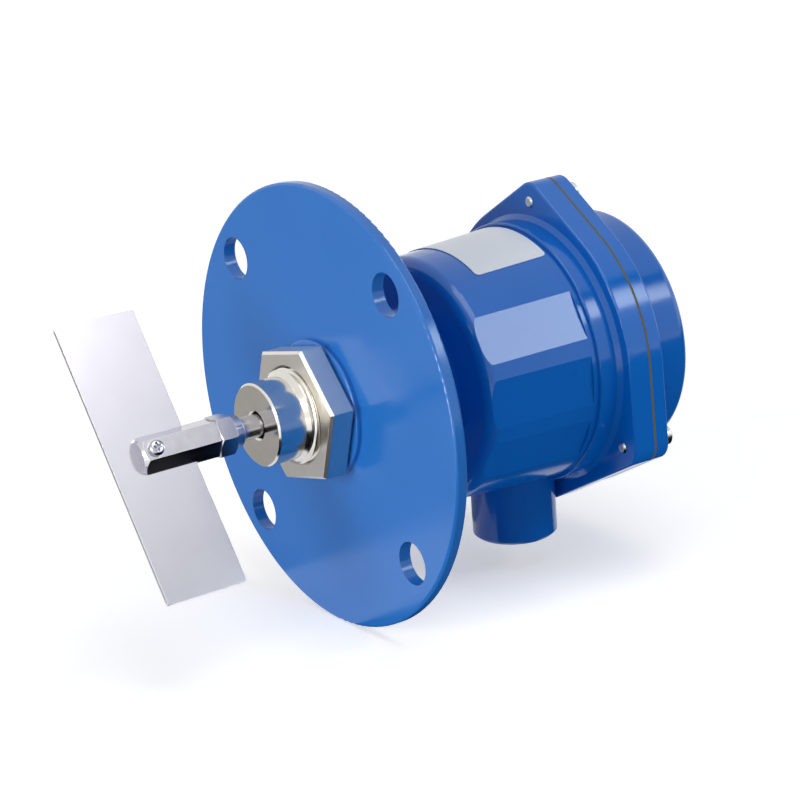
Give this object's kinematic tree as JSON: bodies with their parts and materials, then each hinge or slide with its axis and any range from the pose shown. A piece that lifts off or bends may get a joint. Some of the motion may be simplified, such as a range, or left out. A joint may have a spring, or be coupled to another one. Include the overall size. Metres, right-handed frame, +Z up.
{
  "type": "rotary paddle level switch",
  "caption": "Rotary paddle level switch with a round bolting flange, a short shaft with a rectangular paddle, and a motor housing with a screwed cover and conduit entry.",
  "frame": {"origin": "where the shaft's axis crosses the face of the mounting flange that lies on the silo wall, on the paddle's side", "axes": "+X along the shaft from the paddle to the cover, +Z up, conduit entry down"},
  "size_m": [0.209, 0.155, 0.155],
  "materials": {
    "blue_enamel": "sprayed and baked gloss enamel on cast aluminium and on steel plate",
    "nickel_plated_steel": "bright nickel plating on turned steel",
    "stainless_steel": "turned and milled stainless steel",
    "stainless_sheet": "satin stainless sheet, sheared",
    "bearing_steel": "ground and polished steel",
    "seal_rubber": "moulded nitrile rubber",
    "gasket_fibre": "pressed fibre sheet",
    "label_film": "blank white film",
    "zinc_plated_steel": "bright zinc plating on steel",
    "turned_aluminium": "turned aluminium rod",
    "sintered_bronze": "sintered and oiled bronze",
    "turned_brass": "turned brass",
    "die_cast_zinc": "die-cast zinc, as cast",
    "motor_steel": "drawn steel can, zinc plated",
    "spring_steel": "drawn spring wire and strip",
    "laminate_board": "phenolic laminate sheet",
    "black_plastic": "moulded thermosetting plastic",
    "red_plastic": "moulded acetal"
  },
  "bodies": {
    "root": {"mounting_flange": "blue_enamel", "neck_gasket": "gasket_fibre", "threaded_neck": "nickel_plated_steel", "lock_nut": "nickel_plated_steel", "snap_ring": "stainless_steel", "oil_seal": "seal_rubber", "front_bearing_outer_ring": "bearing_steel", "rear_bearing_outer_ring": "bearing_steel", "housing": "blue_enamel", "blank_label": "label_film", "cover_gasket": "gasket_fibre", "cover": "blue_enamel", "cover_screws": "zinc_plated_steel", "cover_washers": "zinc_plated_steel", "chassis_plate": "zinc_plated_steel", "chassis_posts": "turned_aluminium", "pivot_bush": "sintered_bronze", "swing_stops": "zinc_plated_steel", "spring_post": "zinc_plated_steel", "return_spring": "spring_steel", "signal_switch_case": "black_plastic", "motor_stop_switch_case": "black_plastic", "switch_screws": "zinc_plated_steel", "switch_tabs": "turned_brass", "terminal_plate": "laminate_board", "plate_screws": "zinc_plated_steel", "terminal_block": "black_plastic", "terminal_screws": "turned_brass", "block_screws": "zinc_plated_steel", "earth_screw": "turned_brass"},
    "paddle_shaft": {"main_shaft": "stainless_steel", "jam_nut": "stainless_steel", "paddle_holder": "stainless_steel", "paddle_blade": "stainless_sheet", "blade_screw": "stainless_steel", "front_bearing_inner_ring": "bearing_steel", "front_bearing_balls": "bearing_steel", "rear_bearing_inner_ring": "bearing_steel", "rear_bearing_balls": "bearing_steel", "bearing_spacer": "bearing_steel", "shaft_clip": "stainless_steel", "drive_coupling": "turned_brass", "coupling_pin": "zinc_plated_steel", "gearbox_spindle": "zinc_plated_steel"},
    "swinging_motor": {"swing_plate": "zinc_plated_steel", "arm_pin": "zinc_plated_steel", "gearbox": "die_cast_zinc", "motor": "motor_steel", "motor_screws": "zinc_plated_steel"},
    "signal_lever": {"signal_switch_lever": "spring_steel"},
    "signal_plunger": {"signal_switch_plunger": "red_plastic"},
    "stop_lever": {"motor_stop_switch_lever": "spring_steel"},
    "stop_plunger": {"motor_stop_switch_plunger": "red_plastic"}
  },
  "joints": [
    {"name": "paddle_spin", "type": "hinge", "parent": "root", "child": "paddle_shaft", "pos_m": [0, 0, 0], "axis": [1, 0, 0], "continuous": true},
    {"name": "motor_swing", "type": "hinge", "parent": "root", "child": "swinging_motor", "pos_m": [0, 0, 0], "axis": [1, 0, 0], "range_deg": [0, 8], "stiffness_Nm_per_rad": 0.3, "springref_deg": -17.19, "deforming": ["return_spring"]},
    {"name": "signal_lever_tilt", "type": "hinge", "parent": "root", "child": "signal_lever", "pos_m": [0, 0.0268, -0.0086], "axis": [-1, 0, 0], "range_deg": [0, 6.54]},
    {"name": "signal_plunger_press", "type": "slide", "parent": "root", "child": "signal_plunger", "axis": [0, 1, 0], "range_m": [0, 0.000478]},
    {"name": "stop_lever_tilt", "type": "hinge", "parent": "root", "child": "stop_lever", "pos_m": [0, -0.0268, 0.0086], "axis": [-1, 0, 0], "range_deg": [0, 6.54]},
    {"name": "stop_plunger_press", "type": "slide", "parent": "root", "child": "stop_plunger", "axis": [0, -1, 0], "range_m": [0, 0.000478]}
  ],
  "couplings": [
    {"joint": "signal_lever_tilt", "follows": "motor_swing", "ratio": 0.78},
    {"joint": "signal_plunger_press", "follows": "motor_swing", "m_per_rad": 0.003211},
    {"joint": "stop_lever_tilt", "follows": "motor_swing", "ratio": 0.78},
    {"joint": "stop_plunger_press", "follows": "motor_swing", "m_per_rad": 0.003211}
  ]
}
